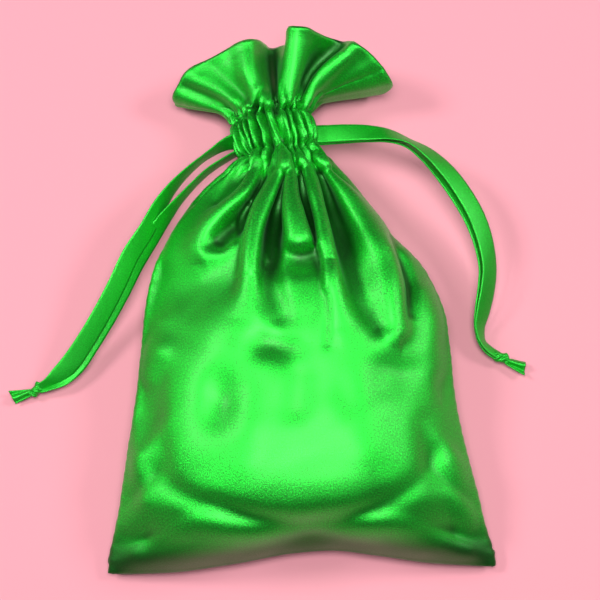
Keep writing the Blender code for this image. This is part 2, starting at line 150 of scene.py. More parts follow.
# folds of the front: each a line of (x, y in a 600 wide frame, half width on
# the line's left and on its right as it runs down, height in mm)
FOLDS = [
    # left shoulder: the pale ridge that turns down it and the hollows beside it
    (2.2, [(264, 156, 4, 4, 1.2), (254, 178, 5, 5, 2.0), (240, 198, 6, 6, 2.6), (222, 213, 8, 7, 2.6),
           (208, 228, 11, 8, 2.2), (198, 246, 13, 9, 1.3), (200, 264, 14, 12, 0.3)]),
    (2.2, [(252, 168, 5, 5, -1.0), (234, 182, 8, 8, -1.7), (216, 203, 7, 5, -1.2)]),
    (2.2, [(248, 205, 5, 5, -2.0), (235, 225, 9, 9, -2.8), (221, 240, 10, 10, -1.8)]),
    (2.2, [(241, 236, 5, 5, 0.5), (226, 251, 6, 6, 0.8), (206, 256, 8, 8, 0.5)]),
    (2.0, [(146, 296, 26, 26, -0.8), (182, 288, 38, 28, -2.6), (222, 280, 30, 24, -2.0)]),
    # second ridge, flat topped
    (2.8, [(284, 168, 4, 4, 1.0), (275, 188, 9, 6, 2.0), (262, 208, 10, 8, 2.8), (254, 234, 9, 8, 3.0),
           (250, 264, 9, 9, 2.4), (247, 292, 13, 13, 1.2), (242, 320, 18, 18, 0.1)]),
    (2.2, [(266, 176, 3, 3, -1.2), (254, 196, 4, 4, -1.8), (243, 216, 4, 4, -1.8), (238, 238, 4, 5, -0.6)]),
    # the deep hollow left of the tongue
    (2.2, [(284, 178, 4, 4, -3.4), (280, 202, 6, 5, -5.6), (274, 230, 9, 8, -4.4), (270, 260, 10, 10, -2.8),
           (272, 288, 13, 13, -2.0), (280, 314, 14, 14, -1.6)]),
    # the tongue, ending in a round snout
    (3.0, [(283, 146, 4, 4, 1.4), (287, 174, 7, 6, 2.6), (291, 204, 10, 9, 3.4), (296, 226, 12, 12, 3.6), (299, 238, 14, 14, 3.2)]),
    (2.2, [(301, 170, 3, 3, -3.0), (304, 194, 6, 5, -5.4), (311, 218, 6, 5, -4.4), (316, 240, 5, 4, -1.8)]),
    # the hollow under the snout, rising again to the belly
    (2.8, [(282, 258, 17, 12, -0.9), (300, 257, 17, 12, -1.3), (318, 258, 16, 10, -1.1)]),
    # long middle ridge, flat topped
    (2.8, [(298, 156, 5, 5, 1.2), (308, 178, 6, 8, 2.6), (317, 208, 6, 9, 3.4), (323, 238, 6, 10, 3.4),
           (329, 268, 7, 11, 2.8), (334, 298, 10, 14, 1.6), (338, 328, 14, 16, 0.4)]),
    # the wedge right of it
    (2.2, [(321, 174, 5, 4, -3.4), (331, 204, 8, 8, -5.0), (343, 235, 11, 12, -4.6), (353, 266, 13, 13, -3.4),
           (364, 300, 14, 13, -2.4), (378, 324, 12, 11, -1.5)]),
    # right shoulder ridge
    (2.6, [(310, 150, 4, 4, 1.4), (328, 170, 5, 6, 2.6), (346, 196, 8, 9, 3.2), (367, 226, 12, 12, 3.2),
           (385, 256, 13, 11, 2.8), (394, 290, 13, 9, 2.2), (398, 330, 15, 11, 1.2)]),
    (2.2, [(388, 238, 4, 5, -0.8), (402, 260, 5, 5, -1.8), (410, 286, 5, 5, -1.8), (409, 314, 6, 6, -0.9)]),
    # shallow dents of the belly
    (2.0, [(226, 386, 22, 22, -1.1), (218, 416, 22, 22, -1.1)]),
    (2.0, [(266, 345, 18, 18, -0.8), (285, 349, 18, 18, -0.8)]),
    (2.0, [(301, 376, 16, 16, -0.7), (297, 408, 16, 16, -0.7)]),
    (2.0, [(384, 383, 19, 19, -0.8), (398, 384, 19, 19, -0.8)]),
    (2.0, [(350, 425, 24, 24, 0.6), (362, 450, 24, 24, 0.6)]),
    (2.0, [(256, 436, 24, 24, 0.6), (252, 462, 24, 24, 0.6)]),
    (2.0, [(327, 296, 4, 4, -0.4), (328, 318, 4, 4, -0.6), (327, 344, 5, 5, -0.3)]),
    # beside the side seams
    (2.0, [(160, 366, 9, 9, -0.3), (156, 405, 11, 11, -0.7), (160, 448, 11, 11, -0.6), (172, 480, 11, 11, -0.2)]),
    (2.0, [(136, 430, 8, 8, 0.4), (140, 465, 10, 10, 0.8), (146, 500, 11, 11, 0.6)]),
    (2.0, [(424, 422, 12, 12, -0.6), (430, 455, 13, 13, -1.0), (436, 482, 12, 12, -0.5)]),
    (2.0, [(448, 466, 10, 10, 0.5), (458, 494, 11, 11, 0.8), (468, 524, 11, 11, 0.5)]),
    (2.2, [(424, 292, 9, 9, 0.9), (431, 322, 12, 10, 1.6), (432, 352, 14, 10, 1.2), (438, 390, 12, 10, 0.4)]),
    (2.4, [(158, 326, 9, 10, 0.3), (158, 346, 11, 14, 1.2), (150, 376, 9, 10, 0.6)]),
    # the valley that ends the belly, and the edge of the bottom side under it
    (2.0, [(152, 466, 10, 10, -0.3), (170, 488, 11, 11, -0.7), (200, 502, 11, 11, -1.0), (250, 517, 9, 11, -1.2),
           (300, 527, 8, 11, -1.3), (345, 520, 9, 11, -1.2), (395, 499, 11, 11, -1.0), (422, 478, 11, 11, -0.7),
           (438, 450, 10, 10, -0.3)]),
    (2.2, [(136, 552, 8, 6, 0.3), (165, 536, 12, 9, 0.6), (200, 521, 13, 10, 0.7), (235, 529, 12, 10, 0.4), (270, 538, 8, 7, 0.1)]),
    (2.2, [(330, 536, 8, 7, 0.1), (360, 527, 12, 10, 0.4), (392, 520, 13, 10, 0.7), (430, 532, 12, 9, 0.6), (468, 550, 8, 6, 0.3)]),
    # frill, left lobe
    (2.4, [(243, 42, 12, 9, 0.6), (248, 66, 11, 8, 1.2), (258, 90, 7, 6, 1.3), (270, 112, 4, 4, 0.9)]),
    (2.0, [(212, 66, 11, 11, -0.5), (234, 88, 10, 9, -1.5), (257, 108, 6, 5, -1.4)]),
    (2.0, [(196, 72, 10, 10, 0.4), (222, 92, 9, 9, 1.0), (248, 112, 5, 5, 0.9)]),
    (2.0, [(184, 87, 6, 6, -0.8), (212, 99, 8, 7, -1.7), (241, 115, 5, 5, -1.2)]),
    # frill, the deep fold behind the middle petal
    (2.4, [(272, 50, 6, 6, -0.8), (274, 74, 6, 4, -2.2), (275, 96, 4, 3, -2.2), (278, 113, 3, 3, -1.2)]),
    # frill, middle petal with its steep left edge
    (2.8, [(300, 30, 14, 12, 0.3), (296, 54, 14, 12, 0.9), (291, 78, 12, 9, 1.3), (287, 100, 8, 6, 1.1)]),
    (2.2, [(338, 45, 12, 8, -1.2), (320, 60, 10, 7, -2.6), (307, 80, 6, 4, -2.8), (300, 100, 3, 3, -1.6)]),
    (2.2, [(354, 46, 4, 9, 0.8), (332, 62, 4, 10, 1.7), (315, 78, 4, 9, 1.8), (306, 100, 3, 5, 1.2)]),
    # frill, right petal
    (2.2, [(372, 66, 8, 8, 0.3), (350, 80, 9, 9, 0.5), (328, 102, 6, 6, 0.5)]),
    (2.2, [(366, 84, 5, 5, -0.3), (346, 96, 5, 5, -0.5), (326, 112, 4, 4, -0.5)]),
]
# soft dents and swells: place, cloth height, half widths, height in mm, and a
# lean of the place with cloth height
DENTS = [
    # creases that run in from the side seams
    (0.052, 36, 0.016, 7, 0.7, 0.0034), (0.042, 25, 0.014, 6, -0.9, 0.004),
    (0.455, 33, 0.015, 7, 0.7, -0.0036), (0.458, 23, 0.013, 6, -0.9, -0.004),
    # the notch in the bottom side
    (0.262, 8, 0.040, 4, -1.2, 0),
]

# soft hollows pressed into the belly: place, half widths across and down, depth in mm
HOLLOWS = [
    (276, 344, 22, 13, 1.5), (219, 398, 18, 20, 1.5), (391, 367, 22, 12, 1.1), (345, 400, 14, 22, 0.6),
    (146, 418, 12, 34, 1.2), (441, 384, 8, 18, 0.9), (150, 268, 20, 12, 0.9), (166, 336, 34, 15, 0.9),
]


def hollows(x, y):
    out = np.zeros(x.shape)
    for x0, y0, wx, wy, deep in HOLLOWS:
        out -= deep * np.exp(-((x - x0)/wx)**2 - ((y - y0 - 0.15*(x - x0))/wy)**2)
    return out


# place of the bottom fold across the sack, from the left corner to the right
HEM = np.array([(-1.0, -70.0), (-0.8, -70.1), (-0.55, -69.3), (-0.3, -67.3), (-0.05, -65.1), (0.18, -64.4),
                (0.4, -65.7), (0.62, -67.3), (0.82, -67.9), (1.0, -68.2)])


def shell(t, front, share, H, g_mid, m):
    """Body points for places t (-1 left seam, 1 right seam) on each row."""
    side = np.abs(t) ** 2.5
    g = g_mid * (1 - side) + share * side if front else share + 0*t
    foot = curve(HEM, 1, t)
    y = foot + (40.0 - foot) * g
    yy = -70 + 110 * g
    xl, xr = curve(EDGES, 1, y), curve(EDGES, 2, y)
    seam, top, bot = curve(HEIGHTS, 1, yy), curve(HEIGHTS, 2, yy), curve(HEIGHTS, 3, yy)
    if front:
        # the filling ends in a round lower edge: it starts higher up towards the corners
        lift = 6.0 * np.minimum(np.abs(t)/0.8, 1.0)**2.0 * smooth(-69, -60, yy) * (1 - smooth(-46, -14, yy))
        top = np.maximum(curve(HEIGHTS, 2, yy - lift), seam + 1.4*smooth(-70, -66, yy))
    crown = np.clip(1 - np.abs(t) ** (3.0 - 0.9*m), 0, 1) ** (1.0 - 0.4*m)
    flat = 0.55 * (1 - m)
    under = np.clip((np.abs(t) - flat) / (1 - flat), 0, 1)
    under = (under ** 2) * (1 - m) + (1 - np.sqrt(np.clip(1 - t*t, 0, 1))) * m
    x = (xl + xr)/2 + (xr - xl)/2 * t
    z = seam + (top - seam)*crown if front else bot + (seam - bot)*under
    z_fold = 2.4 + 2.6 * (1 - t*t)
    z = z + (z_fold - z[:1]) * (1 - smooth(0, 12, H))
    return np.stack([x, y, z], axis=-1)


def design():
    s = np.arange(NU) / NU
    h = np.arange(NV + 1) / NV * FLAT_H
    S, H = np.meshgrid(s, h)
    row = h[:, None]
    share = np.clip(row / H_LOW, 0, 1)
    ys = np.linspace(-70.0, 40.0, 400)
    zs = curve(HEIGHTS, 2, ys)
    arc = np.r_[0, np.cumsum(np.hypot(np.diff(ys), np.diff(zs)))]
    g_mid = (np.interp(share * arc[-1], arc, ys) + 70) / 110
    m = smooth(0.55, 1.0, share)
    dense = np.linspace(-1, 1, 321)[None] + 0*row
    half = []
    for front in (True, False):
        # columns evenly spaced along the cloth of each row
        D = shell(dense, front, share, row, g_mid, m)
        run = np.concatenate([0*row, np.cumsum(np.linalg.norm(np.diff(D, axis=1), axis=-1), axis=1)], axis=1)
        t = np.stack([np.interp(np.linspace(0, r[-1], NU//2 + 1), r, dense[0]) for r in run])
        half.append(shell(t, front, share, row, g_mid, m))
    P = np.concatenate([half[0], half[1][:, -2:0:-1]], axis=1)
    # casing and frill
    th = np.pi * (1 - 2*S)
    k = np.clip((H - H_LOW) / (H_HIGH - H_LOW), 0, 1)
    cx, cy, cz = -5.6 - 2.3*k, 40.0 + 10.0*k, 10.2 + 0.0*k
    puff = np.sin(np.pi * k)
    rx, rz = 8.7 + 0.4*puff, 6.2 + 0.5*puff
    # low ring must match the body's loop at its top; the neck leans a little
    lean = 1.5 * np.cos(th) * smooth(104, 120, H)
    R = np.stack([cx + rx*np.cos(th), cy + lean, cz + rz*np.sin(th)], axis=-1)
    bodyw = smooth(100, 117, H)[..., None]
    Rb = np.stack([-5.6 + (rx + 0.58*(H_LOW-H).clip(0))*np.cos(th), P[..., 1] + lean,
                   10.2 + (rz + 0.12*(H_LOW-H).clip(0))*np.sin(th)], axis=-1)
    P = np.where(H[..., None] <= H_LOW, P*(1-bodyw) + Rb*bodyw, R)
    # frill
    rim = np.concatenate([hermite_curve(RIM_FRONT, np.linspace(0, 1, NU//2 + 1)),
                          hermite_curve(RIM_BACK, np.linspace(0, 1, NU//2 + 1))[1:-1]])
    ring = R[int(H_HIGH)]
    q = np.clip((H - H_HIGH) / (FLAT_H - H_HIGH), 0, 1)[..., None]
    d = rim - ring
    L = np.linalg.norm(d, axis=-1, keepdims=True)
    out = ring - np.array([-7.9, 50.0, 10.2])
    out = out / np.linalg.norm(out, axis=-1, keepdims=True)
    t0 = (np.array([0, 0.8, 0]) + 0.45*out) * L
    t1 = d * 1.0
    F = ((2*q**3-3*q**2+1)*ring + (q**3-2*q**2+q)*t0 + (3*q**2-2*q**3)*rim + (q**3-q**2)*t1)
    P = np.where(H[..., None] > H_HIGH, F, P)
    return S, H, P, rim

def normals(X):
    du = np.roll(X, -1, axis=1) - np.roll(X, 1, axis=1)
    dv = np.gradient(X, axis=0)
    n = np.cross(du, dv)
    return n / (np.linalg.norm(n, axis=-1, keepdims=True) + 1e-9)

def noise1(s, seed, waves, amp=1.0):
    rng = np.random.default_rng(seed)
    out = np.zeros_like(s)
    for w in waves:
        out += rng.normal() * np.sin(2*np.pi*(w*s + rng.random()))
    return amp * out / np.sqrt(len(waves))

def placed(P):
    """Where points in mm fall in the 600 wide frame."""
    tilt = np.radians(75.0)
    back = np.array((0.0, -np.cos(tilt), np.sin(tilt)))
    up = np.array((0.0, np.sin(tilt), np.cos(tilt)))
    d = P - (np.array((0.0, 0.0, 10.0)) + 500.0*back)
    depth = -(d @ back)
    return 300 + 1920*d[..., 0]/depth, 300 - 1920*(d @ up)/depth


def fold(x, y, line, power):
    """Height of one drawn fold at frame places x, y."""
    c = np.asarray(line, float)
    t = np.linspace(0, len(c) - 1, 7*(len(c) - 1) + 1)
    fine = np.stack([np.interp(t, np.arange(len(c)), c[:, k]) for k in range(c.shape[1])], axis=1)
    if len(c) > 2:
        # round the line's corners
        for _ in range(3):
            fine[1:-1] = (fine[:-2] + 2*fine[1:-1] + fine[2:]) / 4
    full = np.zeros(x.shape)
    reach = 3.2 * max(c[:, 2].max(), c[:, 3].max())
    near_it = ((x > c[:, 0].min() - reach) & (x < c[:, 0].max() + reach)
               & (y > c[:, 1].min() - reach) & (y < c[:, 1].max() + reach))
    x, y = x[near_it], y[near_it]
    best = np.full(x.shape, 1e9)
    out = np.zeros(x.shape)
    for a, b in zip(fine[:-1], fine[1:]):
        e = b[:2] - a[:2]
        u = np.clip(((x - a[0])*e[0] + (y - a[1])*e[1]) / (e @ e), 0, 1)
        dx, dy = x - a[0] - u*e[0], y - a[1] - u*e[1]
        dist = np.hypot(dx, dy)
        v = a + u[..., None]*(b - a)
        # smaller x side of a line that runs down is its left
        right = (dx*e[1] - dy*e[0]) > 0
        w = np.where(right, v[..., 3], v[..., 2])
        near = dist < best
        out = np.where(near, v[..., 4]*np.exp(-(dist/w)**power), out)
        best = np.minimum(best, dist)
    full[near_it] = out
    return full


def pleated(S, H, P):
    n = normals(P)
    if n[60, NU//4, 2] < 0:
        n = -n
    lean = noise1(S, 5, (3, 5, 7, 9), 1.0)
    warp = (S + noise1(S, 3, (2, 3, 5, 7, 11), 0.0085) + 0.0012*(H - 122)*lean
            + noise1(S, 21, (4, 6, 9, 13), 0.011) * smooth(115, 119, H) * (1 - smooth(125, 129, H))
            + noise1(S, 22, (4, 6, 9), 0.008) * smooth(126, 131, H)
            + 0.003*np.sin((H - 117)*0.8 + 9*lean) * smooth(110, 114, H) * (1 - smooth(131, 136, H)))
    below, above = np.clip(H_LOW - H, 0, None), np.clip(H - H_HIGH, 0, None)
    amp = np.clip(1.0 + noise1(S, 9, (3, 5, 8, 11, 13), 0.40)
                  + noise1(S, 31, (7, 10, 15), 0.30)*np.sin((H - 120)*0.35 + 4*lean), 0.15, 1.9)
    fine = 1.9 * amp * (np.exp(-(below/5.0)**1.6) * np.exp(-(above/3.2)**1.6))
    pinch = np.exp(-((H - H_LOW)/1.3)**2) + np.exp(-((H - H_HIGH)/1.3)**2)
    fine *= 1 - 0.18*pinch
    d = fine * np.cos(2*np.pi*PLEATS*warp)
    mid = (1.3 * smooth(0, 6, below) * (1 - smooth(8, 18, below))
           + 0.9 * smooth(0, 3, above) * (1 - smooth(4, 10, above)))
    d = d + mid * np.cos(2*np.pi*PLEATS/2*warp + 0.6) * amp
    for s0, w, a, h0, h1 in RIDGES:
        ds = (S - s0 + 0.5) % 1 - 0.5
        wide = w * (0.8 + 0.9*smooth(0, 45, below))
        prof = np.exp(-np.abs(ds/wide)**1.7)
        along = smooth(h0 - 16, h0 + 12, H) * (1 - smooth(h1 - 9, h1 + 1, H))
        d = d + a * (prof - 0.4*np.exp(-((np.abs(ds)-2.0*wide)/wide)**2)) * along
    for s0, h0, w, hw, a, tilt in DENTS:
        ds = (S - s0 - tilt*(H - h0) + 0.5) % 1 - 0.5
        d = d + a * np.exp(-(ds/w)**2 - ((H - h0)/hw)**2)
    x, y = placed(P)
    drawn = 0.75 * hollows(x, y)
    for power, line in FOLDS:
        drawn += fold(x, y, line, power)
    d = d + 0.6 * drawn * (S < 0.5) * (1 - np.exp(-(np.minimum(S, 0.5 - S)/0.012)**2)) * np.where(
        (H > H_LOW - 4) & (H < H_HIGH + 3), 0.5, 1.0)
    # a fine swell at each stitch row, drawn in at the rows themselves
    d = d - 0.7*pinch
    # pleats lean over one way or the other, crests most
    along = np.roll(P, -1, axis=1) - np.roll(P, 1, axis=1)
    along /= np.linalg.norm(along, axis=-1, keepdims=True) + 1e-9
    fall = np.clip(noise1(S, 41, (2, 3, 5, 7), 0.85) + 0.25*np.sin((H - 118)*0.45 + 7*S), -1, 1)
    crest = (fine * (1 + np.cos(2*np.pi*PLEATS*warp)) / 2)
    return P + n * d[..., None] + along * (0.62 * fall * crest)[..., None], n

def pairs_relax(X, W, a, b, rest, k):
    """Move both ends of each pair towards rest length; a, b are slices."""
    A, B = X[a], X[b]
    D = B - A
    L = np.sqrt(np.einsum("...i,...i->...", D, D)) + 1e-9
    wa, wb = W[a], W[b]
    c = (k * (L - rest) / L / (wa + wb + 1e-9))[..., None] * D
    X[a] = A + wa[..., None] * c
    X[b] = B - wb[..., None] * c

def relax(X, W, target, pull, steps, pressure, share, kb=0.1, kd=0.4, ks=0.9):
    """Gauss-Seidel on a grid that closes on itself round the sack.

    share is how much of a cell's rest size comes from the target shape, the
    rest being the flat cloth's own size."""
    fu, fv = 2*FLAT_W/NU, FLAT_H/NV
    T = np.concatenate([target, target[:, :2]], axis=1)
    sh = np.concatenate([share, share[:, :2]], axis=1)
    du = np.linalg.norm(np.diff(T, axis=1), axis=-1)
    dv = np.linalg.norm(np.diff(T, axis=0), axis=-1)
    lu = fu*(1 - sh[:, :-1]) + du*sh[:, :-1]
    lv = fv*(1 - sh[:-1]) + dv*sh[:-1]
    d1 = np.linalg.norm(T[1:, 1:] - T[:-1, :-1], axis=-1)
    d2 = np.linalg.norm(T[1:, :-1] - T[:-1, 1:], axis=-1)
    fd = np.hypot(fu, fv)
    l1 = fd*(1 - sh[:-1, :-1]) + d1*sh[:-1, :-1]
    l2 = fd*(1 - sh[:-1, :-1]) + d2*sh[:-1, :-1]
    for step in range(steps):
        # pressure along the normal of the body
        n = normals(X)
        X += n * pressure[..., None]
        X += (target - X) * pull[..., None]
        # cyclic buffer: one extra column so slices stay simple
        Xc = np.concatenate([X, X[:, :2]], axis=1)
        Wc = np.concatenate([W, W[:, :2]], axis=1)
        for o in (0, 1):
            a = (slice(None), slice(o, NU + o, 2)); b = (slice(None), slice(o + 1, NU + o + 1, 2))
            pairs_relax(Xc, Wc, a, b, lu[a], ks)
            if o == 0:
                Xc[:, NU] = Xc[:, 0]; Xc[:, NU+1] = Xc[:, 1]
            else:
                Xc[:, 0] = Xc[:, NU]; Xc[:, NU+1] = Xc[:, 1]
        for o in (0, 1):
            a = (slice(o, NV, 2), slice(0, NU)); b = (slice(o + 1, NV + 1, 2), slice(0, NU))
            pairs_relax(Xc, Wc, a, b, lv[a], ks)
        Xc[:, NU] = Xc[:, 0]; Xc[:, NU+1] = Xc[:, 1]
        for o in (0, 1):
            a = (slice(o, NV, 2), slice(0, NU)); b = (slice(o + 1, NV + 1, 2), slice(1, NU + 1))
            pairs_relax(Xc, Wc, a, b, l1[a], kd)
            Xc[:, 0] = (Xc[:, NU] + Xc[:, 0])/2; Xc[:, NU] = Xc[:, 0]
            a = (slice(o, NV, 2), slice(1, NU + 1)); b = (slice(o + 1, NV + 1, 2), slice(0, NU))
            pairs_relax(Xc, Wc, a, b, l2[o:NV:2, 0:NU], kd)
            Xc[:, 0] = (Xc[:, NU] + Xc[:, 0])/2; Xc[:, NU] = Xc[:, 0]
        X = Xc[:, :NU].copy()
        # bending: pull the second difference down
        lap = (np.roll(X, 1, axis=1) + np.roll(X, -1, axis=1) - 2*X)
        lap2 = (np.roll(lap, 1, axis=1) + np.roll(lap, -1, axis=1) - 2*lap)
        X -= (kb/8 * W)[..., None] * lap2
        lap = np.zeros_like(X)
        lap[1:-1] = X[2:] + X[:-2] - 2*X[1:-1]
        lap2 = np.zeros_like(X)
        lap2[1:-1] = lap[2:] + lap[:-2] - 2*lap[1:-1]
        X -= (kb/8 * W)[..., None] * lap2
        # the fold at the bottom, and the floor
        mean = (X[0] + X[0][(-np.arange(NU)) % NU]) / 2
        X[0] = mean
        X[..., 2] = np.maximum(X[..., 2], 0.15)
    return X

def build(steps=200):
    S, H, P, rim = design()
    T, n = pleated(S, H, P)
    casing = (H >= H_LOW) & (H <= H_HIGH)
    W = np.ones(H.shape)
    W[casing] = 0.15
    pull = 0.03 + 0.03*smooth(50, 90, H)
    pull[casing] = 0.4
    pull[H > H_HIGH] = 0.08
    edge = np.minimum(np.minimum(np.abs(S), np.abs(S - 0.5)), np.abs(S - 1))
    pull = np.maximum(pull, np.where((edge < 0.004) & (H < H_LOW), 0.05, 0))
    pull[-1] = 0.12
    pull[0] = 0.1
    pressure = 0.006 * smooth(4, 20, H) * (1 - smooth(60, 100, H))
    share = 0.80 + 0.2*smooth(80, 104, H)
    seam = np.exp(-(edge/0.03)**2) * (H < 100)
    share = share * (1 - 0.2*seam*(1 - smooth(60, 90, H)))
    X = relax(T.copy(), W, T, pull, steps, pressure, share)
    return S, H, T, X

def refine(X, mirror=True):
    """Twice the grid: every new point on a smooth curve through four old ones."""
    nv, nu = X.shape[:2]
    out = np.empty((nv, 2*nu) + X.shape[2:])
    out[:, ::2] = X
    out[:, 1::2] = (9*(X + np.roll(X, -1, axis=1)) - np.roll(X, 1, axis=1) - np.roll(X, -2, axis=1)) / 16
    X = out
    nu = X.shape[1]
    below = X[1][(-np.arange(nu)) % nu] if mirror else 2*X[0] - X[1]
    pad = np.concatenate([below[None], X, (2*X[-1] - X[-2])[None]], axis=0)
    out = np.empty((2*nv - 1,) + X.shape[1:])
    out[::2] = X
    out[1::2] = (9*(pad[1:-2] + pad[2:-1]) - pad[:-3] - pad[3:]) / 16
    return out


def link(obj):
    scene.collection.objects.link(obj)
    return obj


def mesh_object(name, verts, faces, uvs=None, materials=()):
    """verts in millimetres; uvs one per vertex."""
    mesh = bpy.data.meshes.new(name)
    mesh.from_pydata([tuple(v * MM) for v in np.asarray(verts, float)], [], faces)
    if uvs is not None:
        layer = mesh.uv_layers.new(name="UVMap")
        loops = np.empty(len(mesh.loops), dtype=np.int32)
        mesh.loops.foreach_get("vertex_index", loops)
        layer.data.foreach_set("uv", np.asarray(uvs, float)[loops].ravel())
    mesh.shade_smooth()
    for m in materials:
        mesh.materials.append(m)
    return link(bpy.data.objects.new(name, mesh))


# ---- materials --------------------------------------------------------------
def node(tree, kind, **sets):
    n = tree.nodes.new(kind)
    for k, v in sets.items():
        setattr(n, k, v)
    return n


def satin(name, dark, light, threads, roughness, metallic, coat, grain):
    """Woven satin. UVs are in millimetres: u across, v along the cloth."""
    mat = bpy.data.materials.new(name)
    mat.use_nodes = True
    t = mat.node_tree
    bsdf = t.nodes["Principled BSDF"]
    bsdf.inputs["Metallic"].default_value = metallic
    bsdf.inputs["Specular IOR Level"].default_value = 0.5
    bsdf.inputs["Coat Weight"].default_value = coat
    bsdf.inputs["Coat Roughness"].default_value = 0.43
    bsdf.inputs["Coat Tint"].default_value = (0.82, 1.0, 0.86, 1)
    bsdf.inputs["Anisotropic"].default_value = 0.3
    bsdf.inputs["Sheen Weight"].default_value = 0.07
    bsdf.inputs["Sheen Roughness"].default_value = 0.45
    bsdf.inputs["Sheen Tint"].default_value = (0.4, 1.0, 0.5, 1)
    uv = node(t, "ShaderNodeTexCoord")
    # long floats of the face threads: fine grain stretched along the cloth
    stretch = node(t, "ShaderNodeMapping")
    stretch.inputs["Scale"].default_value = (threads, threads * 0.36, 1.0)
    t.links.new(uv.outputs["UV"], stretch.inputs["Vector"])
    floats = node(t, "ShaderNodeTexNoise")
    floats.inputs["Scale"].default_value = 1.0
    floats.inputs["Detail"].default_value = 2.0
    floats.inputs["Roughness"].default_value = 0.6
    t.links.new(stretch.outputs["Vector"], floats.inputs["Vector"])
    # the ground weave under them
    ribs = node(t, "ShaderNodeTexWave", wave_type="BANDS", bands_direction="DIAGONAL", wave_profile="SIN")
    ribs.inputs["Scale"].default_value = 1.9
    ribs.inputs["Distortion"].default_value = 3.0
    ribs.inputs["Detail"].default_value = 1.0
    t.links.new(uv.outputs["UV"], ribs.inputs["Vector"])
    speck = node(t, "ShaderNodeTexNoise")
    speck.inputs["Scale"].default_value = grain
    speck.inputs["Detail"].default_value = 3.0
    speck.inputs["Roughness"].default_value = 0.75
    t.links.new(uv.outputs["UV"], speck.inputs["Vector"])
    slow = node(t, "ShaderNodeTexNoise")
    slow.inputs["Scale"].default_value = 0.11
    slow.inputs["Detail"].default_value = 2.0
    t.links.new(uv.outputs["UV"], slow.inputs["Vector"])
    add = node(t, "ShaderNodeMath", operation="MULTIPLY_ADD")
    t.links.new(ribs.outputs["Fac"], add.inputs[0])
    add.inputs[1].default_value = 0.25
    t.links.new(floats.outputs["Fac"], add.inputs[2])
    mix = node(t, "ShaderNodeMath", operation="MULTIPLY_ADD")
    t.links.new(speck.outputs["Fac"], mix.inputs[0])
    mix.inputs[1].default_value = 1.4
    t.links.new(add.outputs[0], mix.inputs[2])
    bumped = node(t, "ShaderNodeBump")
    bumped.inputs["Strength"].default_value = 0.6
    bumped.inputs["Distance"].default_value = 0.00010
    t.links.new(mix.outputs[0], bumped.inputs["Height"])
    t.links.new(bumped.outputs["Normal"], bsdf.inputs["Normal"])
    colour = node(t, "ShaderNodeMix", data_type="RGBA")
    tone = node(t, "ShaderNodeMath", operation="MULTIPLY_ADD", use_clamp=True)
    t.links.new(speck.outputs["Fac"], tone.inputs[0])
    tone.inputs[1].default_value = 4.0
    tone.inputs[2].default_value = -1.5
    t.links.new(tone.outputs[0], colour.inputs["Factor"])
    colour.inputs["A"].default_value = dark
    colour.inputs["B"].default_value = light
    # painted shade: the base colour is mixed towards a darker green by the shade attribute, darkest deep in folds,
    # under the lowest edge and inside the hem
    deep = node(t, "ShaderNodeAttribute")
    deep.attribute_name = "painted_shade"
    shade_mix = node(t, "ShaderNodeMix", data_type="RGBA")
    strong = node(t, "ShaderNodeMath", operation="MULTIPLY", use_clamp=True)
    t.links.new(deep.outputs["Fac"], strong.inputs[0])
    strong.inputs[1].default_value = 0.85
    t.links.new(strong.outputs[0], shade_mix.inputs["Factor"])
    t.links.new(colour.outputs["Result"], shade_mix.inputs["A"])
    shade_mix.inputs["B"].default_value = (dark[0]*0.3, dark[1]*0.22, dark[2]*0.2, 1)
    t.links.new(shade_mix.outputs["Result"], bsdf.inputs["Base Color"])
    rough = node(t, "ShaderNodeMapRange")
    rough.inputs["From Min"].default_value = 0.3
    rough.inputs["From Max"].default_value = 0.7
    rough.inputs["To Min"].default_value = roughness - 0.04
    rough.inputs["To Max"].default_value = roughness + 0.05
    t.links.new(slow.outputs["Fac"], rough.inputs["Value"])
    t.links.new(rough.outputs["Result"], bsdf.inputs["Roughness"])
    tangent = node(t, "ShaderNodeTangent", direction_type="UV_MAP")
    t.links.new(tangent.outputs["Tangent"], bsdf.inputs["Tangent"])
    return mat


SATIN = satin("satin", (0.002, 0.28, 0.010, 1), (0.006, 0.74, 0.035, 1), 5.0, 0.40, 0.88, 0.55, 2.6)
RIBBON = satin("ribbon_satin", (0.001, 0.33, 0.008, 1), (0.003, 0.54, 0.02, 1), 6.0, 0.36, 0.66, 0.3, 3.0)
THREAD = satin("sewing_thread", (0.001, 0.20, 0.01, 1), (0.002, 0.36, 0.02, 1), 9.0, 0.55, 0.1, 0.0, 5.0)


# ---- the sack ---------------------------------------------------------------
_, _, TARGET, CLOTH = build(160)
CLOTH = refine(CLOTH)
NU, PER = 2*NU, 2               # vertices round, rows for each millimetre of cloth
NV = PER * NV
S, H = np.meshgrid(np.arange(NU) / NU, np.arange(NV + 1) / PER)
NORMAL = normals(CLOTH)
if NORMAL[60*PER, NU // 4, 2] < 0:
    NORMAL = -NORMAL


def crumple(seed, waves, amp):
    """Soft irregular creases: sums of slanted waves in cloth millimetres."""
    rng = np.random.default_rng(seed)
    out = np.zeros(S.shape)
    for w in waves:
        a = rng.uniform(0, 2*np.pi)
        k = 2*np.pi/w
        turns = round(math.cos(a)*k*2*FLAT_W/(2*np.pi))
        phase = 2*np.pi*turns*S + math.sin(a)*k*H + rng.uniform(0, 6.28)
        out += np.sin(phase + 0.8*np.sin(phase*0.37 + rng.uniform(0, 6.28)))
    return amp * out / math.sqrt(len(waves))


